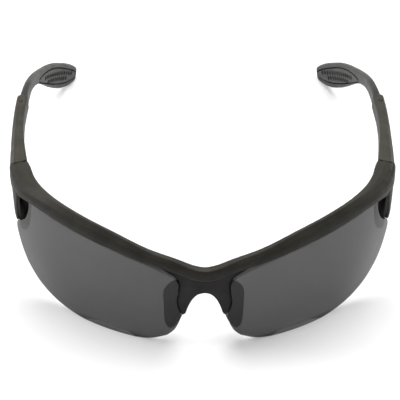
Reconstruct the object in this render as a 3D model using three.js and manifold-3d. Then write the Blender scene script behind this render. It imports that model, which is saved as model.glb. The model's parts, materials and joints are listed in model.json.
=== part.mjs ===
// Half-frame wraparound safety glasses: a brow frame, two smoke lenses held under it, a saddle
// bridge with soft nose pads, and two folding temples with curved, rubber-gripped tips.
// Millimetres. +Z is up, the wearer looks along -Y, and the glasses stand on z = 0. Right is +X,
// as seen from in front.
import * as THREE from 'three';
import { mergeVertices } from 'three/addons/utils/BufferGeometryUtils.js';
import Module from 'manifold-3d';

const wasm = await Module();
wasm.setup();

// ---------------------------------------------------------------- driving dimensions
const GAP = 0.3; // clearance between neighbouring pieces
const ORIGIN_Y = 8.2; // middle of the overall depth, moved to y = 0 at the end

// The lenses are two patches of one ellipsoid. The brow frame follows it in plan.
const LENS_CENTRE = new THREE.Vector3(0, 8, 36);
const LENS_RADIUS = 86; // in plan
const LENS_RADIUS_Z = 140;
const LENS_THICKNESS = 2;

const HINGE_X = 69.7;
const HINGE_Y = -26.5;
const KNUCKLE_RADIUS = 2; // round end of the temple's ears and of the frame's tongue
const JOINT_Y = HINGE_Y - KNUCKLE_RADIUS - GAP; // rear face of the brow frame's ends
const TONGUE_Z = [46.5, 50.1]; // the frame's tongue, between the temple's two ears
const SCREW_RADIUS = 0.7;
const SCREW_HEAD_RADIUS = 1.2;
const SCREW_Z = [44, 44.9, 51.6]; // head bottom, head top, end of the shank

const ARM_END_Y = 18.7; // where the hard temple ends and the tip begins
const PIN_RADIUS = 0.45;
const PIN_Y = 14.4;
const PIN_Z = [41.6, 48.7];

const ROUND_SIDES = 16;

// ---------------------------------------------------------------- solids and geometry
function geometryFrom(positions, index) {
  const geometry = new THREE.BufferGeometry();
  geometry.setAttribute('position', new THREE.BufferAttribute(new Float32Array(positions), 3));
  geometry.setIndex(index);
  return geometry;
}

function signedVolume(geometry) {
  const position = geometry.getAttribute('position');
  const index = geometry.getIndex();
  const [a, b, c] = [new THREE.Vector3(), new THREE.Vector3(), new THREE.Vector3()];
  let sum = 0;
  for (let i = 0; i < index.count; i += 3) {
    a.fromBufferAttribute(position, index.getX(i));
    b.fromBufferAttribute(position, index.getX(i + 1));
    c.fromBufferAttribute(position, index.getX(i + 2));
    sum += a.dot(b.cross(c)) / 6;
  }
  return sum;
}

function flipped(geometry) {
  const index = geometry.getIndex();
  for (let i = 0; i < index.count; i += 3) {
    const second = index.getX(i + 1);
    index.setX(i + 1, index.getX(i + 2));
    index.setX(i + 2, second);
  }
  return geometry;
}

function solid(geometry) {
  const bare = geometry.clone();
  bare.deleteAttribute('normal');
  bare.deleteAttribute('uv');
  let merged = mergeVertices(bare, 1e-4);
  if (signedVolume(merged) < 0) {
    merged = flipped(merged);
  }
  return new wasm.Manifold(
    new wasm.Mesh({
      numProp: 3,
      vertProperties: new Float32Array(merged.getAttribute('position').array),
      triVerts: new Uint32Array(merged.getIndex().array),
    }),
  );
}

function geometryOf(body) {
  const mesh = body.getMesh();
  return geometryFrom(mesh.vertProperties, Array.from(mesh.triVerts));
}

// The same solid on the other side of the plane x = 0.
function mirrored(body) {
  const geometry = geometryOf(body);
  geometry.scale(-1, 1, 1);
  return solid(geometry);
}

// A skin through rings of equal point count, closed at both ends by a fan.
function loft(rings) {
  const count = rings[0].length;
  const positions = rings.flat().flatMap((point) => point.toArray());
  const index = [];
  for (let r = 0; r < rings.length - 1; r += 1) {
    for (let k = 0; k < count; k += 1) {
      const a = r * count + k;
      const b = r * count + ((k + 1) % count);
      index.push(a, b, b + count, a, b + count, a + count);
    }
  }
  const ends = [
    [rings[0], 0, true],
    [rings.at(-1), (rings.length - 1) * count, false],
  ];
  for (const [ring, start, reversed] of ends) {
    const hub = positions.length / 3;
    const centre = new THREE.Vector3();
    ring.forEach((point) => centre.addScaledVector(point, 1 / count));
    positions.push(...centre.toArray());
    for (let k = 0; k < count; k += 1) {
      const [first, second] = [start + k, start + ((k + 1) % count)];
      index.push(hub, reversed ? second : first, reversed ? first : second);
    }
  }
  return solid(geometryFrom(positions, index));
}

function box([x0, x1], [y0, y1], [z0, z1]) {
  const geometry = new THREE.BoxGeometry(x1 - x0, y1 - y0, z1 - z0);
  geometry.translate((x0 + x1) / 2, (y0 + y1) / 2, (z0 + z1) / 2);
  return solid(geometry);
}

// A round post on a vertical axis.
function post(x, y, [z0, z1], radius) {
  const geometry = new THREE.CylinderGeometry(radius, radius, z1 - z0, ROUND_SIDES);
  geometry.rotateX(Math.PI / 2);
  geometry.translate(x, y, (z0 + z1) / 2);
  return solid(geometry);
}

// A rectangle with rounded corners, three points to a corner, as [across, up] pairs.
function roundedSection(halfWidth, halfHeight, radius) {
  const points = [];
  for (let corner = 0; corner < 4; corner += 1) {
    const signX = corner === 0 || corner === 3 ? 1 : -1;
    const signZ = corner < 2 ? 1 : -1;
    for (let step = 0; step < 3; step += 1) {
      const angle = ((corner * 2 + step) * Math.PI) / 4;
      points.push([
        signX * (halfWidth - radius) + radius * Math.cos(angle),
        signZ * (halfHeight - radius) + radius * Math.sin(angle),
      ]);
    }
  }
  return points;
}

// A smooth curve that passes control point i at i / (count - 1).
function through(rows) {
  return new THREE.CatmullRomCurve3(rows.map((row) => new THREE.Vector3(...row)));
}

// ---------------------------------------------------------------- lenses
// Outline of the right lens in front view, as (x, z), in four runs that meet at the corners.
const LENS_TOP = [[10.4, 35.2], [12.6, 37.2], [16.3, 39.3], [23.5, 42.1], [30.7, 44.1], [38, 45.7],
  [45.5, 46.8], [53.1, 47.6], [60, 48.1], [66.3, 48]];
const LENS_OUTER = [[66.3, 48], [66.4, 45], [66.9, 42], [68, 38.2], [69.5, 35.2], [71.5, 32.6],
  [72, 29], [71.3, 24], [70.1, 18.8], [68.3, 13.5]];
const LENS_BOTTOM = [[14.1, 4.5], [20.2, 1.2], [26.3, 0], [33, -0.4], [39.6, -0.4], [46.2, 0],
  [52.8, 1.3], [58.4, 3.3], [64, 7.3], [68.3, 13.5]];
const LENS_INNER = [[10.4, 35.2], [9.7, 32.6], [10, 28.6], [10.5, 25], [10.1, 21.2], [8.7, 17.6],
  [9.4, 13.6], [10.7, 9.6], [12.1, 7], [14.1, 4.5]];

const outline = (points) => new THREE.SplineCurve(points.map(([x, z]) => new THREE.Vector2(x, z)));
const lensTop = outline(LENS_TOP);
const lensOuter = outline(LENS_OUTER);
const lensBottom = outline(LENS_BOTTOM);
const lensInner = outline(LENS_INNER);
const lensCorner = {
  topInner: lensTop.getPoint(0),
  topOuter: lensTop.getPoint(1),
  bottomInner: lensBottom.getPoint(0),
  bottomOuter: lensBottom.getPoint(1),
};

// Front view place on the lens: s runs from the nose outwards, t from the top down.
function lensPoint(s, t) {
  const { topInner, topOuter, bottomInner, bottomOuter } = lensCorner;
  return new THREE.Vector2()
    .addScaledVector(lensTop.getPoint(s), 1 - t)
    .addScaledVector(lensBottom.getPoint(s), t)
    .addScaledVector(lensInner.getPoint(t), 1 - s)
    .addScaledVector(lensOuter.getPoint(t), s)
    .addScaledVector(topInner, -(1 - s) * (1 - t))
    .addScaledVector(topOuter, -s * (1 - t))
    .addScaledVector(bottomInner, -(1 - s) * t)
    .addScaledVector(bottomOuter, -s * t);
}

// The point on the ellipsoid behind (x, z), moved out of it by the given distance.
function onLensSurface(x, z, offset) {
  const acrossX = x / LENS_RADIUS;
  const acrossZ = (z - LENS_CENTRE.z) / LENS_RADIUS_Z;
  const depth = LENS_RADIUS * Math.sqrt(1 - acrossX ** 2 - acrossZ ** 2);
  const normal = new THREE.Vector3(
    x / LENS_RADIUS ** 2,
    -depth / LENS_RADIUS ** 2,
    (z - LENS_CENTRE.z) / LENS_RADIUS_Z ** 2,
  ).normalize();
  return new THREE.Vector3(x, LENS_CENTRE.y - depth, z).addScaledVector(normal, offset);
}

// The right lens, grown by a margin all round when it serves to cut its own seat.
function lensBody(margin) {
  const columns = 18;
  const rows = 9;
  const middle = lensPoint(0.5, 0.5);
  const positions = [];
  for (const offset of [margin, -LENS_THICKNESS - margin]) {
    for (let r = 0; r <= rows; r += 1) {
      for (let c = 0; c <= columns; c += 1) {
        const place = lensPoint(c / columns, r / rows);
        const grow = 1 + margin / place.distanceTo(middle);
        place.sub(middle).multiplyScalar(grow).add(middle);
        positions.push(...onLensSurface(place.x, place.y, offset).toArray());
      }
    }
  }
  const across = columns + 1;
  const layer = across * (rows + 1);
  const index = [];
  for (let r = 0; r < rows; r += 1) {
    for (let c = 0; c < columns; c += 1) {
      const a = r * across + c;
      const [b, d, e] = [a + 1, a + across + 1, a + across];
      index.push(a, e, d, a, d, b);
      index.push(a + layer, d + layer, e + layer, a + layer, b + layer, d + layer);
    }
  }
  const rim = [];
  for (let c = 0; c < columns; c += 1) {
    rim.push(c);
  }
  for (let r = 0; r < rows; r += 1) {
    rim.push(r * across + columns);
  }
  for (let c = columns; c > 0; c -= 1) {
    rim.push(rows * across + c);
  }
  for (let r = rows; r > 0; r -= 1) {
    rim.push(r * across);
  }
  rim.forEach((a, i) => {
    const b = rim[(i + 1) % rim.length];
    index.push(a, b, b + layer, a, b + layer, a + layer);
  });
  return solid(geometryFrom(positions, index));
}

const belowTable = box([-100, 100], [-100, 120], [-10, 0]);
const rightLens = lensBody(0).subtract(belowTable);
const rightLensSeat = lensBody(GAP);

// ---------------------------------------------------------------- brow frame
// From the middle of the brow to past the hinge on the right. Each row has the inner edge [x, y,
// top z], the outer edge [x, y, bottom z], and [crest, drop, flange]: how far out the top face runs
// as a share of the depth, how much it falls on the way, and how far the flange behind the lens
// hangs below the bottom.
const BROW = [
  [[0, -74.8, 40.6], [0, -78.3, 36.1], [0.8, 0, 0.2]],
  [[4.6, -74.7, 41.7], [4.8, -78.2, 36.9], [0.78, 0, 0.2]],
  [[10.1, -74.2, 44.1], [10.5, -77.7, 39.6], [0.65, 0, 0.2]],
  [[21.5, -72, 47.7], [22.4, -75.3, 42.5], [0.5, 0, 1.6]],
  [[33.3, -67.8, 51.9], [34.7, -71, 45.5], [0.35, 0, 1.8]],
  [[45.1, -61.4, 54.3], [47.2, -64.2, 47.5], [0.35, 0, 1.8]],
  [[55.1, -53.3, 55.3], [59, -55, 48.6], [0.38, 0.2, 1.8]],
  [[61, -45.7, 55.1], [66.7, -47.2, 48.1], [0.5, 0.8, 0.6]],
  [[64.3, -38.5, 54.3], [71.2, -40.4, 45.6], [0.66, 1.6, 0.2]],
  [[66.1, -31.8, 53.5], [73.8, -33.2, 44.4], [0.72, 1.5, 0.2]],
  [[67.3, -28, 53], [74.2, -28, 43.7], [0.76, 1.1, 0.2]],
  [[68, -24, 52.8], [74.3, -24, 43.6], [0.78, 0.9, 0.2]],
];

const mirrorX = ([x, y, z]) => [-x, y, z];
const bothSides = (column, turn) => [
  ...BROW.slice(1).reverse().map((row) => turn(row[column])),
  ...BROW.map((row) => row[column]),
];

function browBody() {
  const inner = through(bothSides(0, mirrorX));
  const outer = through(bothSides(1, mirrorX));
  const shape = through(bothSides(2, (row) => row));
  const steps = (BROW.length - 1) * 8;
  const rings = [];
  for (let i = 0; i <= steps; i += 1) {
    const a = inner.getPoint(i / steps);
    const b = outer.getPoint(i / steps);
    const { x: crest, y: drop, z: flange } = shape.getPoint(i / steps);
    const top = a.z;
    const bottom = b.z;
    const tall = top - bottom;
    const depth = Math.hypot(a.x - b.x, a.y - b.y);
    const flangeFront = 1 - (LENS_THICKNESS + 2 * GAP + 0.1) / depth;
    const flangeRear = -0.5 / depth;
    const section = [
      [0, top - 0.7],
      [0.05, top - 0.1],
      [crest * 0.6, top - drop * 0.4],
      [crest, top - drop],
      [crest + (1 - crest) * 0.78, top - drop - 0.3 * (tall - drop)],
      [1, bottom + 0.38 * tall],
      [0.99, bottom + 0.5],
      [0.9, bottom],
      [flangeFront, bottom],
      [flangeFront, bottom - flange],
      [flangeRear, bottom - flange],
      [flangeRear, bottom + 0.4 * tall],
    ];
    rings.push(section.map(([u, z]) => new THREE.Vector3(
      a.x + (b.x - a.x) * u,
      a.y + (b.y - a.y) * u,
      z,
    )));
  }
  return loft(rings);
}

// The leaf-shaped hook that runs from the frame's end down to the lens's outer corner. The gap
// between it and the lens is the side vent. Rows: z, front edge x y, rear edge x y, half thickness.
const HOOK = [
  [52.2, 72.5, -31.5, 73.5, -28, 0.5],
  [50.6, 71.5, -36, 74, -28, 0.9],
  [48.4, 70.6, -39.9, 74, -28, 1.1],
  [45.8, 70.6, -41.8, 73.7, -28.6, 1.05],
  [43, 70.9, -41.8, 72.7, -32, 1.1],
  [39.5, 71.1, -41.4, 72, -35.2, 1.05],
  [35.8, 71.2, -40.9, 71.6, -37, 0.95],
  [32.2, 71, -40.2, 71.2, -38.4, 0.6],
];

// An upright wall with rounded edges through level sections, listed as for the hook.
function upright(rows, steps) {
  const front = through(rows.map(([z, x, y]) => [x, y, z]));
  const rear = through(rows.map(([z, , , x, y, half]) => [x, y, half]));
  const rings = [];
  for (let i = 0; i <= steps; i += 1) {
    const a = front.getPoint(i / steps);
    const b = rear.getPoint(i / steps);
    const half = b.z;
    const along = new THREE.Vector2(b.x - a.x, b.y - a.y);
    const reach = along.length() / 2;
    along.normalize();
    const ring = [];
    for (let k = 0; k < 12; k += 1) {
      const angle = (k * Math.PI) / 6;
      const u = reach * Math.cos(angle);
      const v = half * Math.sin(angle);
      ring.push(new THREE.Vector3(
        (a.x + b.x) / 2 + along.x * u + along.y * v,
        (a.y + b.y) / 2 + along.y * u - along.x * v,
        a.z,
      ));
    }
    rings.push(ring);
  }
  return loft(rings);
}

// The wall that stands between the side vent and the eye, from the hook's rear edge inwards.
// Rows: z, inner edge x y, outer edge x y, half thickness.
const BAFFLE = [
  [50, 66.2, -36, 72.4, -33, 0.9],
  [44, 66.1, -36.3, 72, -33.8, 0.9],
  [37, 66.2, -36.8, 71.6, -35, 0.85],
  [31, 66.8, -37.3, 71.2, -36.2, 0.75],
  [27.5, 67.4, -37.5, 70.9, -37, 0.6],
  [26, 68.4, -37.6, 70.4, -37.4, 0.4],
];

// The saddle bridge hangs on two pegs that sit in blind holes in the brow.
const SADDLE_PEG = { x: 4.4, y: -76, radius: 0.7, z: [34.5, 39.6] };

function tongueBody() {
  const across = [HINGE_X - KNUCKLE_RADIUS, HINGE_X + KNUCKLE_RADIUS];
  const root = box(across, [JOINT_Y - 2, HINGE_Y], TONGUE_Z);
  return root.add(post(HINGE_X, HINGE_Y, TONGUE_Z, KNUCKLE_RADIUS));
}

function frontFrame() {
  const { x, y, radius, z: [, pegTop] } = SADDLE_PEG;
  const behindJoint = box([60, 80], [JOINT_Y, -15], [40, 60]);
  const screwHole = post(HINGE_X, HINGE_Y, [45, 51], SCREW_RADIUS + GAP);
  const pegHole = post(x, y, [34, pegTop + GAP], radius + GAP);
  const hook = upright(HOOK, 16).add(upright(BAFFLE, 8));
  const tongue = tongueBody();
  let frame = browBody().add(hook).add(mirrored(hook));
  frame = frame.subtract(behindJoint).subtract(mirrored(behindJoint));
  frame = frame.add(tongue).add(mirrored(tongue));
  for (const tool of [screwHole, pegHole, rightLensSeat]) {
    frame = frame.subtract(tool).subtract(mirrored(tool));
  }
  return frame;
}

// ---------------------------------------------------------------- saddle bridge
// Right half of the saddle in front view, from the top of the nose arch round to the middle of
// the upper edge, as (x, z).
const SADDLE_ARCH_TOP = 29;
const SADDLE_OUTLINE = [[1.2, 28.8], [2.5, 28.2], [3.7, 26.9], [4.8, 25.2], [5.7, 23], [6.4, 20.8],
  [6.9, 18.9], [7.3, 17.9], [7.9, 17.4], [8.5, 17.7], [9.1, 18.6], [9.6, 19.9], [10, 22.5],
  [10.3, 25], [10, 28.6], [10, 32.6], [11, 35.6], [12.8, 37.7], [15.9, 39.85], [18.9, 41],
  [18.2, 42], [14, 41.5], [10.4, 40.4], [7.6, 39], [4.8, 37.6], [2.4, 36.7]];
const SADDLE_UPPER_EDGE = 36.4; // above the brow's underside, which trims it
const SADDLE_RADII = [83.1, 84.9]; // rear and front face, about the lenses' own vertical axis

function saddleBody() {
  const shape = new THREE.Shape();
  shape.moveTo(0, SADDLE_ARCH_TOP);
  SADDLE_OUTLINE.forEach(([x, z]) => shape.lineTo(x, z));
  shape.lineTo(0, SADDLE_UPPER_EDGE);
  [...SADDLE_OUTLINE].reverse().forEach(([x, z]) => shape.lineTo(-x, z));
  shape.closePath();
  const profile = new THREE.ExtrudeGeometry(shape, { depth: 20, bevelEnabled: false, steps: 1 });
  profile.rotateX(Math.PI / 2);
  profile.translate(0, -66, 0);

  // A curved wall in plan, wider and taller than the outline that it is cut to.
  const [rear, front] = SADDLE_RADII;
  const [from, to] = [-Math.PI / 2 - 0.3, -Math.PI / 2 + 0.3];
  const wall = new THREE.Shape();
  wall.absarc(0, 0, front, from, to, false);
  wall.absarc(0, 0, rear, to, from, true);
  wall.closePath();
  const walls = { depth: 30, bevelEnabled: false, curveSegments: 24 };
  const shell = new THREE.ExtrudeGeometry(wall, walls);
  shell.translate(LENS_CENTRE.x, LENS_CENTRE.y, 14);

  const { x, y, radius, z } = SADDLE_PEG;
  const peg = post(x, y, z, radius);
  const stud = padStud(PAD_STUD.radius, 0);
  let saddle = solid(profile).intersect(solid(shell));
  const brow = browBody();
  for (const shift of [[0, 0, -GAP], [0, GAP, 0], [0, -GAP, 0]]) {
    saddle = saddle.subtract(brow.translate(shift));
  }
  saddle = saddle.subtract(rightLensSeat).subtract(mirrored(rightLensSeat));
  return saddle.add(peg).add(mirrored(peg)).add(stud).add(mirrored(stud));
}

// ---------------------------------------------------------------- nose pads
// Each pad is a soft blade behind its saddle leg, on a stud that stands out of the leg's rear
// face. Rows: z, front edge x y, rear edge x y, half thickness.
const PAD = [
  [30.6, 7.2, -73.6, 9.4, -71.6, 0.3],
  [29, 6.9, -74, 11.8, -70.2, 0.95],
  [25.5, 6.8, -74, 13.9, -68.3, 1.25],
  [21, 7.2, -73.8, 15.1, -66.9, 1.35],
  [16, 7.9, -73.2, 14.9, -66.5, 1.35],
  [11.5, 9, -72.6, 14.8, -66.6, 1.3],
  [7.5, 10.4, -71.7, 14.7, -67.1, 1.15],
  [4.9, 11.8, -70.8, 14.3, -68.3, 0.8],
  [3.9, 12.6, -70.2, 13.6, -69.2, 0.3],
];
const PAD_STUD = { x: 8, z: 20.5, y: [-75.6, -72.2], radius: 0.55 };

// The stud, or the hole for it in the pad when made wider and longer.
function padStud(radius, extra) {
  const [y0, y1] = [PAD_STUD.y[0], PAD_STUD.y[1] + extra];
  const geometry = new THREE.CylinderGeometry(radius, radius, y1 - y0, ROUND_SIDES);
  geometry.translate(PAD_STUD.x, (y0 + y1) / 2, PAD_STUD.z);
  return solid(geometry);
}

function padBody() {
  const front = through(PAD.map(([z, x, y]) => [x, y, z]));
  const rear = through(PAD.map(([z, , , x, y, half]) => [x, y, half]));
  const steps = 16;
  const rings = [];
  for (let i = 0; i <= steps; i += 1) {
    const a = front.getPoint(i / steps);
    const b = rear.getPoint(i / steps);
    const along = new THREE.Vector2(b.x - a.x, b.y - a.y);
    const reach = along.length() / 2;
    along.normalize();
    rings.push(roundedSection(reach, b.z, b.z * 0.7).map(([u, v]) => new THREE.Vector3(
      (a.x + b.x) / 2 + along.x * u + along.y * v,
      (a.y + b.y) / 2 + along.y * u - along.x * v,
      a.z,
    )));
  }
  return loft(rings).subtract(padStud(PAD_STUD.radius + GAP, GAP));
}

// ---------------------------------------------------------------- temples
// Hard arm, front to rear: [y, inner x, outer x], [top z, bottom z].
const ARM = [
  [[-32, 67, 74], [53.2, 43.5]],
  [[-26.5, 67.7, 74.1], [52.8, 43.6]],
  [[-20.6, 68.6, 74.4], [52.2, 43.4]],
  [[-13, 69.6, 74.6], [51.4, 42.9]],
  [[-4, 70.4, 74.8], [50.5, 42.3]],
  [[5, 70.6, 74.8], [49.6, 41.7]],
  [[12, 70.3, 74.6], [48.8, 41.1]],
  [[20, 69.8, 74.1], [48, 40.6]],
];

// The arm's section. A facet cuts its outer top corner and carries on the leaf on the brow frame's
// end: facet is 1 at the hinge, and 0 where the corner is as round as the others.
function armSection(halfWidth, halfHeight, facet) {
  const section = roundedSection(halfWidth, halfHeight, 1.1);
  section[0] = [halfWidth, halfHeight - 1.1 - 4.6 * facet];
  section[1] = [halfWidth - 0.32, halfHeight - 0.32 - 3.2 * facet];
  section[2] = [halfWidth - 1.1 - 0.5 * facet, halfHeight - facet];
  return section;
}

function armLoft() {
  const plan = through(ARM.map(([row]) => row));
  const rise = through(ARM.map(([, row]) => [...row, 0]));
  const steps = 20;
  const rings = [];
  for (let i = 0; i <= steps; i += 1) {
    const { x: y, y: inside, z: outside } = plan.getPoint(i / steps);
    const { x: top, y: bottom } = rise.getPoint(i / steps);
    const section = armSection((outside - inside) / 2, (top - bottom) / 2, 1 - i / steps);
    rings.push(section.map(([u, v]) => {
      const lean = 0.06 * (v - (top - bottom) / 2); // outer face leans out towards the bottom
      return new THREE.Vector3(
        (inside + outside) / 2 + u - (u > 0 ? lean : 0),
        y,
        (top + bottom) / 2 + v,
      );
    }));
  }
  return loft(rings);
}

// Centreline of the tip, from the tenon inside the arm to the end of the paddle, with the half
// thickness and half height of the section at each point.
const TIP = [
  [[72.6, 9, 45.3], [0.8, 2.2]],
  [[71.7, 19, 44.4], [1.6, 3.4]],
  [[71.3, 25, 43.5], [1.55, 3.1]],
  [[70.8, 32, 41.6], [1.5, 2.8]],
  [[70.1, 39.6, 38.5], [1.5, 2.6]],
  [[68.7, 50, 32.8], [1.6, 2.8]],
  [[67.1, 58.8, 27], [1.75, 3.6]],
  [[65.3, 67, 21], [1.8, 4.8]],
  [[63.2, 74.2, 15.5], [1.8, 5.6]],
  [[60.8, 80.7, 10.4], [1.8, 5.7]],
  [[58, 87.4, 5.7], [1.7, 5]],
  [[55.6, 92.4, 2.5], [1.3, 3.3]],
  [[54.9, 93.9, 1.8], [0.6, 1.8]],
];
const tipLine = through(TIP.map(([centre]) => centre));
const tipSize = through(TIP.map(([, half]) => [...half, 0]));
const TIP_SHOULDER = 1 / (TIP.length - 1); // where along the line the tip meets the arm
const TENON_SIZE = TIP[0][1];
const PIN_X = TIP[0][0][0];

// Place and axes of the tip's section: "inward" faces the head, "up" is square to the centreline.
function tipFrame(t) {
  const centre = tipLine.getPoint(t);
  const along = tipLine.getTangent(t);
  const up = new THREE.Vector3(0, 0, 1).addScaledVector(along, -along.z).normalize();
  const inward = new THREE.Vector3().crossVectors(up, along).normalize();
  if (inward.x > 0) {
    inward.negate();
  }
  const { x: halfWidth, y: halfHeight } = tipSize.getPoint(t);
  return { centre, up, inward, halfWidth, halfHeight };
}

// One section of the tip, with rounded corners.
function tipRing(t, width, height, radius) {
  const { centre, up, inward } = tipFrame(t);
  return roundedSection(width, height, radius).map(([u, v]) => centre.clone()
    .addScaledVector(inward, u)
    .addScaledVector(up, v));
}

// The flat tenon at the tip's front end, grown by a margin when it serves to cut its own pocket.
function tenonBody(margin) {
  const rings = [];
  const steps = 4;
  for (let i = 0; i <= steps; i += 1) {
    const t = (TIP_SHOULDER * i) / steps;
    rings.push(tipRing(t, TENON_SIZE[0] + margin, TENON_SIZE[1] + margin, 0.4));
  }
  const tenon = loft(rings);
  return tenon.add(tenon.translate([0, -margin, 0])).add(tenon.translate([0, margin, 0]));
}

// The soft grip is let into the inward face of the paddle as a leaf-shaped inlay.
const GRIP = { from: 0.41, to: 0.93, halfHeight: 3.1, depth: 1, proud: 0.15 };
const GRIP_GAP = 0.4; // the groove round the inlay
const GRIP_CUT_PROUD = 2; // how far the tool that cuts its recess stands out of the paddle

function gripBody(margin, depth, proud) {
  const steps = 18;
  const rings = [];
  for (let i = 0; i <= steps; i += 1) {
    const share = i / steps;
    const t = GRIP.from + (GRIP.to - GRIP.from) * share;
    const { centre, up, inward, halfWidth } = tipFrame(t);
    const half = 0.25 + GRIP.halfHeight * Math.sin(Math.PI * share) ** 0.8 + margin;
    const middle = 0.35 * Math.sin(Math.PI * share) - 1.3 * (1 - share) ** 2;
    const section = [
      [halfWidth - depth, middle - half],
      [halfWidth + proud, middle - half],
      [halfWidth + proud, middle],
      [halfWidth + proud, middle + half],
      [halfWidth - depth, middle + half],
      [halfWidth - depth, middle],
    ];
    rings.push(section.map(([u, v]) => centre.clone()
      .addScaledVector(inward, u)
      .addScaledVector(up, v)));
  }
  return loft(rings);
}

function tipBody() {
  const rings = [];
  const steps = 32;
  for (let i = 0; i <= steps; i += 1) {
    const t = TIP_SHOULDER + ((1 - TIP_SHOULDER) * i) / steps;
    const { halfWidth, halfHeight } = tipFrame(t);
    rings.push(tipRing(t, halfWidth, halfHeight, halfWidth * 0.75));
  }
  rings[0].forEach((point) => point.setY(ARM_END_Y + GAP)); // square shoulder against the arm
  const pinHole = post(PIN_X, PIN_Y, [38, 52], PIN_RADIUS + GAP);
  return loft(rings)
    .add(tenonBody(0))
    .subtract(gripBody(GRIP_GAP, GRIP.depth + GAP, GRIP_CUT_PROUD))
    .subtract(pinHole)
    .subtract(belowTable);
}

// The arm's front end is a fork of two ears with the frame's tongue between them. The corner next
// to the head is cut away so that the ears can turn.
function armBody() {
  const frontCut = box([60, 85], [-40, JOINT_Y + GAP], [35, 60]);
  const rearCut = box([60, 85], [ARM_END_Y, 30], [35, 60]);
  const knuckle = post(HINGE_X, HINGE_Y, [40, 56], KNUCKLE_RADIUS);
  const corner = box([HINGE_X - 5, HINGE_X], [HINGE_Y - 5, HINGE_Y], [40, 56]).subtract(knuckle);
  const slotZ = [TONGUE_Z[0] - GAP, TONGUE_Z[1] + GAP];
  const slotReach = KNUCKLE_RADIUS + GAP;
  const slot = box([HINGE_X - 6, HINGE_X + slotReach], [HINGE_Y - 6, HINGE_Y], slotZ)
    .add(box([HINGE_X - 6, HINGE_X], [HINGE_Y - 1, HINGE_Y + slotReach], slotZ))
    .add(post(HINGE_X, HINGE_Y, slotZ, slotReach));
  const screwHole = post(HINGE_X, HINGE_Y, [SCREW_Z[0], SCREW_Z[2] + GAP], SCREW_RADIUS + GAP)
    .add(post(HINGE_X, HINGE_Y, [40, SCREW_Z[1] + GAP], SCREW_HEAD_RADIUS + GAP));
  const pinHole = post(PIN_X, PIN_Y, [38, 52], PIN_RADIUS + GAP);
  return armLoft()
    .subtract(frontCut)
    .subtract(rearCut)
    .subtract(corner)
    .subtract(slot)
    .subtract(screwHole)
    .subtract(tenonBody(GAP))
    .subtract(pinHole);
}

// ---------------------------------------------------------------- small hardware
// A turned piece on a vertical axis. The profile is [radius, z], from axis to axis.
function turned(profile, x, y) {
  const points = profile.map(([radius, z]) => new THREE.Vector2(radius, z));
  const geometry = new THREE.LatheGeometry(points, ROUND_SIDES);
  geometry.rotateX(Math.PI / 2);
  geometry.translate(x, y, 0);
  return solid(geometry);
}

function screwBody() {
  const [bottom, neck, end] = SCREW_Z;
  return turned([
    [0, bottom],
    [SCREW_HEAD_RADIUS - 0.2, bottom],
    [SCREW_HEAD_RADIUS, bottom + 0.2],
    [SCREW_HEAD_RADIUS, neck],
    [SCREW_RADIUS, neck],
    [SCREW_RADIUS, end - 0.3],
    [SCREW_RADIUS - 0.3, end],
    [0, end],
  ], HINGE_X, HINGE_Y);
}

function pinBody() {
  const [bottom, top] = PIN_Z;
  return turned([
    [0, bottom],
    [PIN_RADIUS, bottom],
    [PIN_RADIUS, top - 0.2],
    [PIN_RADIUS - 0.2, top],
    [0, top],
  ], PIN_X, PIN_Y);
}

// ---------------------------------------------------------------- assembly
const MATERIALS = {
  frame: { color: 0x35342e, roughness: 0.55, metalness: 0 },
  temple: { color: 0x45433b, roughness: 0.6, metalness: 0 },
  tip: { color: 0x4c4a45, roughness: 0.65, metalness: 0 },
  rubber: { color: 0x2f2f2f, roughness: 0.8, metalness: 0 },
  lens: { color: 0x565455, roughness: 0.08, metalness: 0 },
  steel: { color: 0x55565a, roughness: 0.35, metalness: 1 },
};

const glasses = new THREE.Group();

function add(name, body, material) {
  const geometry = geometryOf(body);
  geometry.computeVertexNormals();
  const mesh = new THREE.Mesh(geometry, new THREE.MeshStandardMaterial(MATERIALS[material]));
  mesh.name = name;
  glasses.add(mesh);
}

function addPair(name, body, material) {
  add(`${name}_right`, body, material);
  add(`${name}_left`, mirrored(body), material);
}

add('front_frame', frontFrame(), 'frame');
add('nose_bridge', saddleBody(), 'frame');
addPair('lens', rightLens, 'lens');
addPair('nose_pad', padBody(), 'rubber');
addPair('temple', armBody(), 'temple');
addPair('temple_tip', tipBody(), 'tip');
addPair('grip_inlay', gripBody(0, GRIP.depth, GRIP.proud), 'rubber');
addPair('hinge_screw', screwBody(), 'steel');
addPair('tip_pin', pinBody(), 'steel');

glasses.position.set(0, -ORIGIN_Y, 0);

export default glasses;
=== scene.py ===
"""Wraparound safety glasses with smoke lenses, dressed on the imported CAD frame."""
import json
import math

import bmesh
import bpy
from mathutils import Matrix, Vector


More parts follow.
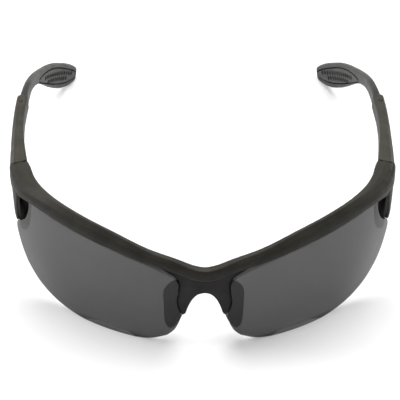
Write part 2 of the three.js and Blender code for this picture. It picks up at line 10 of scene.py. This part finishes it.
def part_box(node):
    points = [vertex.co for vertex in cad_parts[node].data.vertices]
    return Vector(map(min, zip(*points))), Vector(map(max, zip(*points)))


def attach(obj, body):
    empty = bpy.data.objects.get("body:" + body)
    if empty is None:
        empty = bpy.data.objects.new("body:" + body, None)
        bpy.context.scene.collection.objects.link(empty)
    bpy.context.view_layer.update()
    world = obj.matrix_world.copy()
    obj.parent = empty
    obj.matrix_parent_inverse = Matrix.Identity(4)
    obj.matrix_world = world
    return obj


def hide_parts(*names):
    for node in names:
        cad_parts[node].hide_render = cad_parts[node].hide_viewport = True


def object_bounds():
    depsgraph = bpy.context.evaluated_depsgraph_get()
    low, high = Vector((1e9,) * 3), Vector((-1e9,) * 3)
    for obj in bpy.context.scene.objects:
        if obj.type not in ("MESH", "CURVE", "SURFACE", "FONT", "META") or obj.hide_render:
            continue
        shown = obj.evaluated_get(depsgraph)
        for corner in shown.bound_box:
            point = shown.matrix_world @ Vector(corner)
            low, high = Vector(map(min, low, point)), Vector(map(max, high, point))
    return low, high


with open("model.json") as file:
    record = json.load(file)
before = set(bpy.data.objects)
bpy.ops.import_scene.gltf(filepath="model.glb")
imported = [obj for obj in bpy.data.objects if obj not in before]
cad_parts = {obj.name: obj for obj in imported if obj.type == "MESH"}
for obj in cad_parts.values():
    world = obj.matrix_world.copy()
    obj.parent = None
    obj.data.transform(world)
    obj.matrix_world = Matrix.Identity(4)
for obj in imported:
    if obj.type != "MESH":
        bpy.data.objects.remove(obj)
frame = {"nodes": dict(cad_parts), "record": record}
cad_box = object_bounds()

MM = 0.001
SIDES = ("right", "left")
WHITE = (1, 1, 1, 1)


# ---------------------------------------------------------------- meshes
def new_object(name, data):
    thing = bpy.data.objects.new(name, data)
    bpy.context.scene.collection.objects.link(thing)
    return thing


def apply_modifiers(piece):
    """Makes the piece's modifiers part of its mesh."""
    graph = bpy.context.evaluated_depsgraph_get()
    mesh = bpy.data.meshes.new_from_object(piece.evaluated_get(graph))
    piece.modifiers.clear()
    old = piece.data
    piece.data = mesh
    bpy.data.meshes.remove(old)


def add_bevel(piece, width, segments, least_bend):
    """Eases the edges where the surface bends by more than least_bend degrees."""
    bevel = piece.modifiers.new("edge", "BEVEL")
    bevel.width = width
    bevel.segments = segments
    bevel.limit_method = "ANGLE"
    bevel.angle_limit = math.radians(least_bend)
    return bevel


def moulded(node, voxel, smoothing, swell=0.0):
    """A moulded version of a CAD node: one even skin whose edges are rounded off.

    Sizes are in millimetres. A swell closes part of the clearance to its neighbours.
    """
    mesh = frame["nodes"][node].data.copy()
    mesh.transform(Matrix.Scale(1 / MM, 4))
    piece = new_object(node + "_moulded", mesh)
    remesh = piece.modifiers.new("skin", "REMESH")
    remesh.mode = "VOXEL"
    remesh.voxel_size = voxel
    remesh.use_smooth_shade = True
    smooth = piece.modifiers.new("round", "SMOOTH")
    smooth.factor = 0.5
    smooth.iterations = smoothing
    grow = piece.modifiers.new("swell", "DISPLACE")
    grow.strength = swell
    grow.mid_level = 0
    apply_modifiers(piece)
    piece.data.transform(Matrix.Scale(MM, 4))
    for vertex in piece.data.vertices:
        vertex.co.z = max(vertex.co.z, cad_box[0].z)
    return piece


def settle(piece, node, *materials):
    """Puts the piece in the node's place, on its body, with its finish."""
    owner = next(
        body
        for body, nodes in frame["record"]["behaviour"]["bodies"].items()
        if node in nodes
    )
    piece.data.materials.clear()
    for material in materials:
        piece.data.materials.append(material)
    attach(piece, owner)
    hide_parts(node)


# ---------------------------------------------------------------- materials
def shade(colour, factor):
    return tuple(c * factor for c in colour)


class Nodes:
    """A small helper for building one material's node tree.

    A noise's scale is in waves per metre, and a bump's distance is in metres.
    """

    def __init__(self, name):
        self.material = bpy.data.materials.new(name)
        self.material.use_nodes = True
        self.tree = self.material.node_tree
        self.shader = self.tree.nodes["Principled BSDF"]
        coordinates = self.tree.nodes.new("ShaderNodeTexCoord")
        self.place = coordinates.outputs["Object"]

    def set(self, **values):
        """Sets the shader's own sockets: specular_ior_level=0.2 is Specular IOR Level."""
        sockets = {s.name.lower().replace(" ", "_"): s for s in self.shader.inputs}
        for name, value in values.items():
            sockets[name].default_value = value

    def link(self, source, target):
        self.tree.links.new(source, target)

    def noise(self, scale, detail=3, stretch=None):
        place = self.place
        if stretch:
            mapping = self.tree.nodes.new("ShaderNodeMapping")
            mapping.inputs["Scale"].default_value = stretch
            self.link(place, mapping.inputs["Vector"])
            place = mapping.outputs["Vector"]
        node = self.tree.nodes.new("ShaderNodeTexNoise")
        node.inputs["Scale"].default_value = scale
        node.inputs["Detail"].default_value = detail
        node.inputs["Roughness"].default_value = 0.55
        self.link(place, node.inputs["Vector"])
        return node.outputs["Fac"]

    def axis_z(self, vector):
        """The upward part of a place or a direction."""
        node = self.tree.nodes.new("ShaderNodeSeparateXYZ")
        self.link(vector, node.inputs[0])
        return node.outputs["Z"]

    def ramp(self, source, stops):
        node = self.tree.nodes.new("ShaderNodeValToRGB")
        for element, (place, colour) in zip(node.color_ramp.elements, stops):
            element.position = place
            element.color = (*colour, 1)
        self.link(source, node.inputs["Fac"])
        return node.outputs["Color"]

    def span(self, source, low, high, to_low=0, to_high=1):
        """What lies between low and high, stretched to lie between two other values."""
        node = self.tree.nodes.new("ShaderNodeMapRange")
        node.inputs["From Min"].default_value = low
        node.inputs["From Max"].default_value = high
        node.inputs["To Min"].default_value = to_low
        node.inputs["To Max"].default_value = to_high
        self.link(source, node.inputs["Value"])
        return node.outputs["Result"]

    def mix(self, share, first, second):
        node = self.tree.nodes.new("ShaderNodeMix")
        node.data_type = "RGBA"
        colours = [i for i in node.inputs if i.type == "RGBA"]
        self.link(share, node.inputs["Factor"])
        for socket, value in zip(colours, (first, second)):
            if isinstance(value, tuple):
                socket.default_value = (*value, 1)
            else:
                self.link(value, socket)
        return next(o for o in node.outputs if o.type == "RGBA")

    def add(self, first, second, weight):
        """The first value, plus the second one times its weight."""
        node = self.tree.nodes.new("ShaderNodeMath")
        node.operation = "MULTIPLY_ADD"
        self.link(second, node.inputs[0])
        node.inputs[1].default_value = weight
        self.link(first, node.inputs[2])
        return node.outputs[0]

    def times(self, first, second):
        node = self.tree.nodes.new("ShaderNodeMath")
        node.operation = "MULTIPLY"
        self.link(first, node.inputs[0])
        self.link(second, node.inputs[1])
        return node.outputs[0]

    def bump(self, height, strength, distance):
        node = self.tree.nodes.new("ShaderNodeBump")
        node.inputs["Strength"].default_value = strength
        node.inputs["Distance"].default_value = distance
        self.link(height, node.inputs["Height"])
        self.link(node.outputs["Normal"], self.shader.inputs["Normal"])


def moulded_plastic(name, colour, roughness, specular=0.14):
    """Matt moulded plastic: grainy, painted darker where it faces down and lighter where it
    faces up as painted shade, with painted shade in its creases, rubbed along its upper
    edges.
    """
    n = Nodes(name)
    geometry = n.tree.nodes.new("ShaderNodeNewGeometry").outputs
    speckle = n.span(n.noise(scale=2200, detail=2), low=0.35, high=0.65)
    grainy = n.add(n.noise(scale=120), speckle, weight=0.25)
    # Painted shade: a darker copy of the colour for surfaces that face down and a lighter
    # copy for surfaces that face up, blended by how far the surface faces up.
    shaded_tone, lit_tone = (
        n.ramp(grainy, [(0.4, shade(toned, 0.78)), (0.85, shade(toned, 1.24))])
        for toned in (shade(colour, 0.66), shade(colour, 1.12))
    )
    upward = n.span(n.axis_z(geometry["Normal"]), low=-0.1, high=0.85)
    cloud = n.mix(upward, shaded_tone, lit_tone)

    edge = n.span(geometry["Pointiness"], low=0.53, high=0.6)
    patchy = n.span(n.noise(scale=420, detail=4), 0.42, 0.62, to_low=0.1, to_high=0.8)
    rubbed = n.times(n.times(edge, patchy), upward)
    wear = tuple(c * 1.35 + 0.012 for c in colour)
    surface = n.mix(rubbed, cloud, wear)

    # Painted shade: where the AO node finds other surfaces close by, in creases and at the
    # joints between parts, the colour is darkened towards near-black.
    crevice = n.tree.nodes.new("ShaderNodeAmbientOcclusion")
    crevice.samples = 6
    crevice.inputs["Distance"].default_value = 2.2 * MM
    open_air = n.span(crevice.outputs["AO"], low=0.45, high=0.95)
    painted_shade = shade(colour, 0.15)
    n.link(n.mix(open_air, painted_shade, surface), n.shader.inputs["Base Color"])

    matt = n.span(n.noise(scale=260, detail=4), 0.3, 0.7, roughness - 0.06, roughness + 0.07)
    n.link(n.add(matt, rubbed, weight=-0.1), n.shader.inputs["Roughness"])
    grain = n.add(n.noise(scale=2600, detail=2), n.noise(scale=1100, detail=2), weight=0.6)
    n.bump(grain, strength=0.5, distance=0.1 * MM)
    n.set(ior=1.5, specular_ior_level=specular)
    return n.material


def soft_rubber(name, colour, roughness):
    """Soft elastomer: velvety, with a fine skin and with painted shade in its hollows."""
    n = Nodes(name)
    cloud = n.ramp(
        n.noise(scale=200, detail=5), [(0.35, shade(colour, 0.8)), (0.7, shade(colour, 1.25))]
    )
    # Painted shade: the colour darkens towards near-black where the surface is hollow, in the
    # dimples and grooves.
    pointiness = n.tree.nodes.new("ShaderNodeNewGeometry").outputs["Pointiness"]
    hollow = n.span(pointiness, low=0.475, high=0.41)
    painted_shade = shade(colour, 0.25)
    n.link(n.mix(hollow, cloud, painted_shade), n.shader.inputs["Base Color"])
    matt = n.span(n.noise(scale=500, detail=4), 0.3, 0.7, roughness - 0.08, roughness + 0.08)
    n.link(matt, n.shader.inputs["Roughness"])
    n.bump(n.noise(scale=4200, detail=2), strength=0.3, distance=0.05 * MM)
    n.set(sheen_weight=0.12, sheen_roughness=0.5)
    return n.material


def smoke_lens(name, colour, alpha):
    """Smoke polycarbonate, painted lighter towards the brow as a painted reflection: clear
    gloss, hairline scratches.
    """
    n = Nodes(name)
    cloud = n.ramp(n.noise(scale=60, detail=2), [(0.3, shade(colour, 0.9)), (0.7, colour)])
    # Painted reflection: the tint grows six times lighter from the lens's foot up to the
    # brow, standing in for the brighter reflection on its upper part.
    height = n.span(n.axis_z(n.place), low=4 * MM, high=46 * MM)
    n.link(n.mix(height, cloud, shade(colour, 6)), n.shader.inputs["Base Color"])
    hairs = n.noise(scale=900, detail=3, stretch=(1, 0.12, 0.35))
    n.link(n.span(hairs, 0.35, 0.75, to_low=0.05, to_high=0.1), n.shader.inputs["Roughness"])
    n.bump(n.noise(scale=45, detail=1), strength=0.05, distance=0.1 * MM)
    n.set(ior=1.5, specular_ior_level=0.2, alpha=alpha)
    return n.material


def turned_steel(name, colour, roughness):
    """Small turned steel: fine tool marks and a dull film."""
    n = Nodes(name)
    film = n.ramp(n.noise(scale=1500, detail=3), [(0.3, shade(colour, 0.75)), (0.7, colour)])
    n.link(film, n.shader.inputs["Base Color"])
    dull = n.span(n.noise(scale=2500, detail=3), 0.3, 0.7, roughness - 0.08, roughness + 0.1)
    n.link(dull, n.shader.inputs["Roughness"])
    tool_marks = n.noise(scale=900, detail=2, stretch=(1, 1, 14))
    n.bump(tool_marks, strength=0.15, distance=0.03 * MM)
    n.set(metallic=1)
    return n.material


FRAME_BLACK = moulded_plastic("frame_black", (0.03, 0.0285, 0.0235), roughness=0.5)
BRIDGE_BLACK = moulded_plastic("bridge_black", (0.028, 0.028, 0.0275), roughness=0.55)
TEMPLE_OLIVE = moulded_plastic("temple_olive", (0.042, 0.039, 0.0315), roughness=0.5)
TIP_GREY = moulded_plastic("tip_grey", (0.034, 0.033, 0.03), roughness=0.45, specular=0.2)
GRIP_RUBBER = soft_rubber("grip_rubber", (0.019, 0.019, 0.0185), roughness=0.75)
PAD_RUBBER = soft_rubber("pad_rubber", (0.008, 0.008, 0.008), roughness=0.6)
LENS_SMOKE = smoke_lens("lens_smoke", (0.009, 0.0087, 0.0087), alpha=0.78)
LENS_EDGE = smoke_lens("lens_edge", (0.02, 0.02, 0.02), alpha=0.85)
SCREW_STEEL = turned_steel("screw_steel", (0.42, 0.42, 0.43), roughness=0.35)
PIN_STEEL = turned_steel("pin_steel", (0.12, 0.12, 0.12), roughness=0.45)


# ---------------------------------------------------------------- lenses
# The same outline and ellipsoid as the CAD lens, in millimetres, on a much finer grid.
LENS_TOP = [(10.4, 35.2), (12.6, 37.2), (16.3, 39.3), (23.5, 42.1), (30.7, 44.1), (38, 45.7),
            (45.5, 46.8), (53.1, 47.6), (60, 48.1), (66.3, 48)]
LENS_OUTER = [(66.3, 48), (66.4, 45), (66.9, 42), (68, 38.2), (69.5, 35.2), (71.5, 32.6),
              (72, 29), (71.3, 24), (70.1, 18.8), (68.3, 13.5)]
LENS_BOTTOM = [(14.1, 4.5), (20.2, 1.2), (26.3, 0), (33, -0.4), (39.6, -0.4), (46.2, 0),
               (52.8, 1.3), (58.4, 3.3), (64, 7.3), (68.3, 13.5)]
LENS_INNER = [(10.4, 35.2), (9.7, 32.6), (10, 28.6), (10.5, 25), (10.1, 21.2), (8.7, 17.6),
              (9.4, 13.6), (10.7, 9.6), (12.1, 7), (14.1, 4.5)]
LENS_RADIUS = 86
LENS_RADIUS_Z = 140
LENS_MIDDLE_Z = 36
LENS_THICKNESS = 2
LENS_EASING = 0.35
LENS_COLUMNS = 96
LENS_ROWS = 48
EDGE_FINISH = 1  # the place of LENS_EDGE among a lens's materials


def along(points, share):
    """The point at that share of a smooth curve through the points."""
    place = (len(points) - 1) * share
    i = min(int(place), len(points) - 2)
    w = place - i
    p0, p1, p2, p3 = (
        Vector(points[max(0, min(len(points) - 1, i + k))]) for k in (-1, 0, 1, 2)
    )
    v0, v1 = (p2 - p0) / 2, (p3 - p1) / 2
    return (
        (2 * p1 - 2 * p2 + v0 + v1) * w**3
        + (3 * p2 - 3 * p1 - 2 * v0 - v1) * w**2
        + v0 * w
        + p1
    )


def lens_place(s, t):
    """A place inside the outline: s runs from the nose outwards, t from the brow down."""
    top_inner, top_outer = Vector(LENS_TOP[0]), Vector(LENS_TOP[-1])
    bottom_inner, bottom_outer = Vector(LENS_BOTTOM[0]), Vector(LENS_BOTTOM[-1])
    return (
        along(LENS_TOP, s) * (1 - t)
        + along(LENS_BOTTOM, s) * t
        + along(LENS_INNER, t) * (1 - s)
        + along(LENS_OUTER, t) * s
        - top_inner * (1 - s) * (1 - t)
        - top_outer * s * (1 - t)
        - bottom_inner * (1 - s) * t
        - bottom_outer * s * t
    )


def on_ellipsoid(x, z, offset):
    across, up = x / LENS_RADIUS, (z - LENS_MIDDLE_Z) / LENS_RADIUS_Z
    depth = LENS_RADIUS * math.sqrt(1 - across**2 - up**2)
    normal = Vector((across / LENS_RADIUS, -depth / LENS_RADIUS**2, up / LENS_RADIUS_Z))
    return Vector((x, -depth, z)) + normal.normalized() * offset


def lens_layer(bm, sign, offset):
    """The grid of one face of a lens, as rows of vertices."""
    layer = []
    for r in range(LENS_ROWS + 1):
        line = []
        for c in range(LENS_COLUMNS + 1):
            place = lens_place(c / LENS_COLUMNS, r / LENS_ROWS)
            point = on_ellipsoid(place.x, place.y, offset)
            line.append(bm.verts.new((sign * point.x, point.y, point.z)))
        layer.append(line)
    return layer


def cut_foot(bm):
    """Cuts the lens off flat at z = 0, where it rests, and closes the cut."""
    cut = bmesh.ops.bisect_plane(
        bm, geom=bm.verts[:] + bm.edges[:] + bm.faces[:],
        plane_co=(0, 0, 0), plane_no=(0, 0, -1), clear_outer=True,
    )
    edges = [e for e in cut["geom_cut"] if isinstance(e, bmesh.types.BMEdge)]
    for face in bmesh.ops.holes_fill(bm, edges=edges)["faces"]:
        face.material_index = EDGE_FINISH


def lens_mesh(side):
    columns, rows = LENS_COLUMNS, LENS_ROWS
    sign = 1 if side == "right" else -1
    bm = bmesh.new()
    outer, inner = (lens_layer(bm, sign, offset) for offset in (0, -LENS_THICKNESS))
    for r in range(rows):
        for c in range(columns):
            bm.faces.new((outer[r][c], outer[r + 1][c], outer[r + 1][c + 1], outer[r][c + 1]))
            bm.faces.new((inner[r][c], inner[r][c + 1], inner[r + 1][c + 1], inner[r + 1][c]))
    rim = [(0, c) for c in range(columns)]
    rim += [(r, columns) for r in range(rows)]
    rim += [(rows, c) for c in range(columns, 0, -1)]
    rim += [(r, 0) for r in range(rows, 0, -1)]
    for (r0, c0), (r1, c1) in zip(rim, rim[1:] + rim[:1]):
        face = bm.faces.new((outer[r0][c0], outer[r1][c1], inner[r1][c1], inner[r0][c0]))
        face.material_index = EDGE_FINISH
    bmesh.ops.recalc_face_normals(bm, faces=bm.faces)
    cut_foot(bm)
    mesh = bpy.data.meshes.new("lens_" + side)
    bm.to_mesh(mesh)
    bm.free()
    mesh.transform(Matrix.Scale(MM, 4))
    return mesh


def add_lens(side):
    """A lens, slid along y to where the CAD lens begins."""
    node = "lens_" + side
    mesh = lens_mesh(side)
    front = min(v.co.y for v in mesh.vertices)
    mesh.transform(Matrix.Translation((0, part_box(node)[0].y - front, 0)))
    piece = new_object(node + "_smoke", mesh)
    bevel = add_bevel(piece, LENS_EASING * MM, segments=3, least_bend=50)
    bevel.material = EDGE_FINISH
    apply_modifiers(piece)
    piece.data.shade_smooth()
    settle(piece, node, LENS_SMOKE, LENS_EDGE)


# ---------------------------------------------------------------- grips with dimples
# In millimetres. A row is a number of dimples and its height over the grip's middle line.
DIMPLE_ROWS = ((14, 1), (10, -1.3))
DIMPLE_PITCH = 2.8
DIMPLE_RADIUS = 1.1
DIMPLE_DEPTH = 0.9
ROW_BOW = 1.2  # how far the ends of a row lie below its middle
INWARD_ENOUGH = 0.5  # the least cosine between a dimpled surface and the inward direction


def dimpled(piece):
    """Presses two rows of small round dimples into the face that looks at the head."""
    verts = piece.data.vertices
    middle = sum((v.co for v in verts), Vector()) / len(verts)
    ends = sorted(verts, key=lambda v: v.co.y)
    lengthwise = (ends[-1].co - ends[0].co).normalized()
    half = (ends[-1].co - ends[0].co).length / 2
    upwards = (Vector((0, 0, 1)) - lengthwise * lengthwise.z).normalized()
    inward = upwards.cross(lengthwise)
    inward *= -1 if inward.x * middle.x > 0 else 1
    centres = []
    for count, lift in DIMPLE_ROWS:
        for k in range(count):
            u = (k - (count - 1) / 2) * DIMPLE_PITCH * MM
            bow = (u / half) ** 2 * ROW_BOW * MM
            centres.append((u, lift * MM - bow))
    radius, depth = DIMPLE_RADIUS * MM, DIMPLE_DEPTH * MM
    for v in verts:
        if v.normal.dot(inward) < INWARD_ENOUGH:
            continue
        away = v.co - middle
        u, w = away.dot(lengthwise), away.dot(upwards)
        nearest = min(math.hypot(u - a, w - b) for a, b in centres)
        if nearest < radius:
            v.co -= inward * depth * (1 - (nearest / radius) ** 3)
    return piece


# ---------------------------------------------------------------- screws and pins
WELD_DISTANCE = 1e-6
SLOT_WIDTH = 0.4 * MM
SLOT_DEPTH = 0.4 * MM
TURNED_EASING = 0.06 * MM


def weld(piece):
    """Joins the vertices of neighbouring faces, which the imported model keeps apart."""
    bm = bmesh.new()
    bm.from_mesh(piece.data)
    bmesh.ops.remove_doubles(bm, verts=bm.verts, dist=WELD_DISTANCE)
    bm.to_mesh(piece.data)
    bm.free()


def cut_slot(piece, node):
    """Cuts a driver slot across the screw's head, which faces down."""
    low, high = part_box(node)
    middle = (low + high) / 2
    blade = bmesh.new()
    bmesh.ops.create_cube(blade, size=1)
    cutter_mesh = bpy.data.meshes.new("blade")
    blade.to_mesh(cutter_mesh)
    blade.free()
    cutter = new_object("blade", cutter_mesh)
    cutter.scale = (SLOT_WIDTH, (high.y - low.y) * 1.2, 2 * SLOT_DEPTH)
    cutter.location = (middle.x, middle.y, low.z)
    cut = piece.modifiers.new("slot", "BOOLEAN")
    cut.operation = "DIFFERENCE"
    cut.solver = "EXACT"
    cut.object = cutter
    apply_modifiers(piece)
    bpy.data.objects.remove(cutter)


def turned(node, slotted):
    """A CAD screw or pin with eased edges and, for a screw, a driver slot."""
    piece = new_object(node + "_turned", frame["nodes"][node].data.copy())
    weld(piece)
    if slotted:
        cut_slot(piece, node)
    add_bevel(piece, TURNED_EASING, segments=2, least_bend=40)
    apply_modifiers(piece)
    piece.data.shade_smooth()
    return piece


# ---------------------------------------------------------------- pieces
def add_moulded(node, material, **skin):
    settle(moulded(node, **skin), node, material)


def add_grip(side):
    node = "grip_inlay_" + side
    settle(dimpled(moulded(node, voxel=0.12, smoothing=5)), node, GRIP_RUBBER)


def add_turned(node, material, slotted):
    settle(turned(node, slotted), node, material)


add_moulded("front_frame", FRAME_BLACK, voxel=0.2, smoothing=6, swell=0.1)
add_moulded("nose_bridge", BRIDGE_BLACK, voxel=0.15, smoothing=6, swell=0.12)
for side in SIDES:
    add_lens(side)
    add_moulded("nose_pad_" + side, PAD_RUBBER, voxel=0.2, smoothing=10)
    add_moulded("temple_" + side, TEMPLE_OLIVE, voxel=0.2, smoothing=8, swell=0.1)
    add_moulded("temple_tip_" + side, TIP_GREY, voxel=0.2, smoothing=10)
    add_grip(side)
    add_turned("hinge_screw_" + side, SCREW_STEEL, slotted=True)
    add_turned("tip_pin_" + side, PIN_STEEL, slotted=False)


# ---------------------------------------------------------------- floor, light and camera
FLOOR_REACH = 3
# The camera's angles in degrees: azimuth from straight in front, elevation over level.
CAMERA_AZIMUTH = -1.582
CAMERA_ELEVATION = 41.303
CAMERA_ROLL = 0.892
CAMERA_DISTANCE = 0.766
CAMERA_AIM = Vector((-0.13, -7.46, 7.04)) * MM
CAMERA_LENS_MM = 167.13
CAMERA_SENSOR_MM = 36


def add_floor():
    """A white acrylic table, lit faintly from below so that shadows stay pale."""
    bm = bmesh.new()
    bmesh.ops.create_grid(bm, x_segments=4, y_segments=4, size=FLOOR_REACH)
    mesh = bpy.data.meshes.new("floor")
    bm.to_mesh(mesh)
    bm.free()
    floor = new_object("floor", mesh)
    n = Nodes("floor_acrylic")
    pale, paler = (0.68, 0.68, 0.68), (0.71, 0.71, 0.71)
    cloud = n.ramp(n.noise(scale=8, detail=2), [(0.3, pale), (0.7, paler)])
    n.link(cloud, n.shader.inputs["Base Color"])
    n.set(roughness=0.9, emission_color=WHITE, emission_strength=0.28)
    n.material.cycles.emission_sampling = "NONE"
    mesh.materials.append(n.material)


def add_light(name, place, target, size, power):
    """A round lamp; places and size in metres, power in watts."""
    data = bpy.data.lights.new(name, "AREA")
    data.shape = "DISK"
    data.size = size
    data.energy = power
    lamp = new_object(name, data)
    lamp.location = place
    lamp.rotation_euler = (Vector(target) - Vector(place)).to_track_quat("-Z", "Y").to_euler()


def add_world():
    """A soft studio dome: bright overhead, dim towards the horizon."""
    world = bpy.data.worlds.new("studio")
    world.use_nodes = True
    tree = world.node_tree
    coordinates = tree.nodes.new("ShaderNodeTexCoord")
    parts = tree.nodes.new("ShaderNodeSeparateXYZ")
    brightness = tree.nodes.new("ShaderNodeMapRange")
    brightness.inputs["To Min"].default_value = 0.22
    brightness.inputs["To Max"].default_value = 1.35
    tree.links.new(coordinates.outputs["Generated"], parts.inputs[0])
    tree.links.new(parts.outputs["Z"], brightness.inputs["Value"])
    tree.links.new(brightness.outputs["Result"], tree.nodes["Background"].inputs["Strength"])
    bpy.context.scene.world = world


def add_camera():
    """A long lens from in front and above, a hair left of centre and tilted a hair."""
    azimuth, elevation, roll = (
        math.radians(a) for a in (CAMERA_AZIMUTH, CAMERA_ELEVATION, CAMERA_ROLL)
    )
    low, high = cad_box
    footprint = Vector(((low.x + high.x) / 2, (low.y + high.y) / 2, low.z))
    back = Vector((
        math.sin(azimuth) * math.cos(elevation),
        -math.cos(azimuth) * math.cos(elevation),
        math.sin(elevation),
    ))
    level = (-back).cross(Vector((0, 0, 1))).normalized()
    upright = level.cross(-back)
    right = level * math.cos(roll) + upright * math.sin(roll)
    up = upright * math.cos(roll) - level * math.sin(roll)
    place = footprint + CAMERA_AIM + back * CAMERA_DISTANCE
    data = bpy.data.cameras.new("camera")
    data.sensor_width = CAMERA_SENSOR_MM
    data.lens = CAMERA_LENS_MM
    data.clip_start = 0.05
    camera = new_object("camera", data)
    camera.matrix_world = Matrix((
        (right.x, up.x, back.x, place.x),
        (right.y, up.y, back.y, place.y),
        (right.z, up.z, back.z, place.z),
        (0, 0, 0, 1),
    ))
    bpy.context.scene.camera = camera


add_floor()
add_world()
add_light("key", place=(0.1, 0.35, 1.25), target=(0, 0, 0), size=1.6, power=30)
add_light("left", place=(-1.1, 0.1, 0.7), target=(0, 0, 0.03), size=0.5, power=9)
add_light("right", place=(1.1, 0.1, 0.7), target=(0, 0, 0.03), size=0.5, power=2)
add_camera()
bpy.context.scene.view_settings.view_transform = "Standard"
